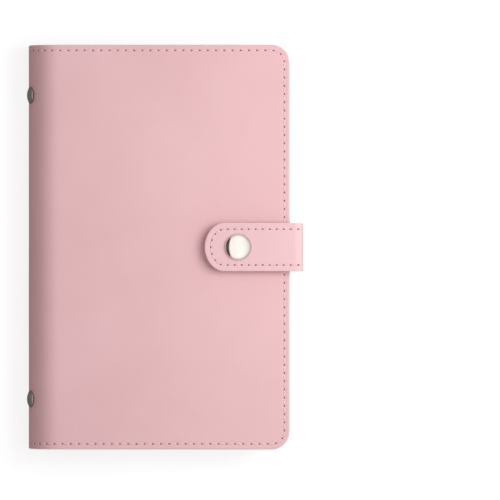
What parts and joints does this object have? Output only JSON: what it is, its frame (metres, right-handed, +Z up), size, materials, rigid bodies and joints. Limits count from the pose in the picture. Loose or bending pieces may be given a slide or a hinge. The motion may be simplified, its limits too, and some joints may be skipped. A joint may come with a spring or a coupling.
{
  "type": "cash envelope wallet",
  "caption": "Slim stitched wallet with a folded cover, a booklet of clear cash pockets riveted in its spine and a strap closed by a snap.",
  "frame": {"origin": "middle of the closed wallet's footprint, on the surface that its back cover lies on", "axes": "+Y along the spine, +X from the spine to the fore edge and strap, +Z up through the thickness, out of the front cover"},
  "size_m": [0.13, 0.19, 0.0295],
  "materials": {
    "pink_leather": "smooth satin imitation leather",
    "pink_lining": "matt imitation leather lining",
    "snap_steel": "polished nickel plate",
    "rivet_steel": "darker nickel plate",
    "clear_film": "clear soft film"
  },
  "bodies": {
    "wallet": {"cover_outer": "pink_leather", "cover_lining": "pink_lining", "strap_tongue": "pink_lining", "snap_stud": "snap_steel", "snap_post": "snap_steel", "spine_rivet_cap_top": "rivet_steel", "spine_rivet_base_top": "rivet_steel", "spine_rivet_cap_bottom": "rivet_steel", "spine_rivet_base_bottom": "rivet_steel", "binding_strip": "clear_film", "pocket_1": "clear_film", "pocket_2": "clear_film", "pocket_3": "clear_film", "pocket_4": "clear_film", "pocket_5": "clear_film", "pocket_6": "clear_film", "pocket_7": "clear_film", "pocket_8": "clear_film"},
    "strap": {"strap_outer": "pink_leather", "strap_backing": "pink_lining", "snap_cap": "snap_steel", "snap_socket": "snap_steel", "snap_spring": "snap_steel"}
  },
  "joints": [
    {"name": "strap_open", "type": "hinge", "parent": "wallet", "child": "strap", "pos_m": [0.06033, 0, 0.001], "axis": [0, 1, 0], "range_deg": [0, 65]}
  ]
}
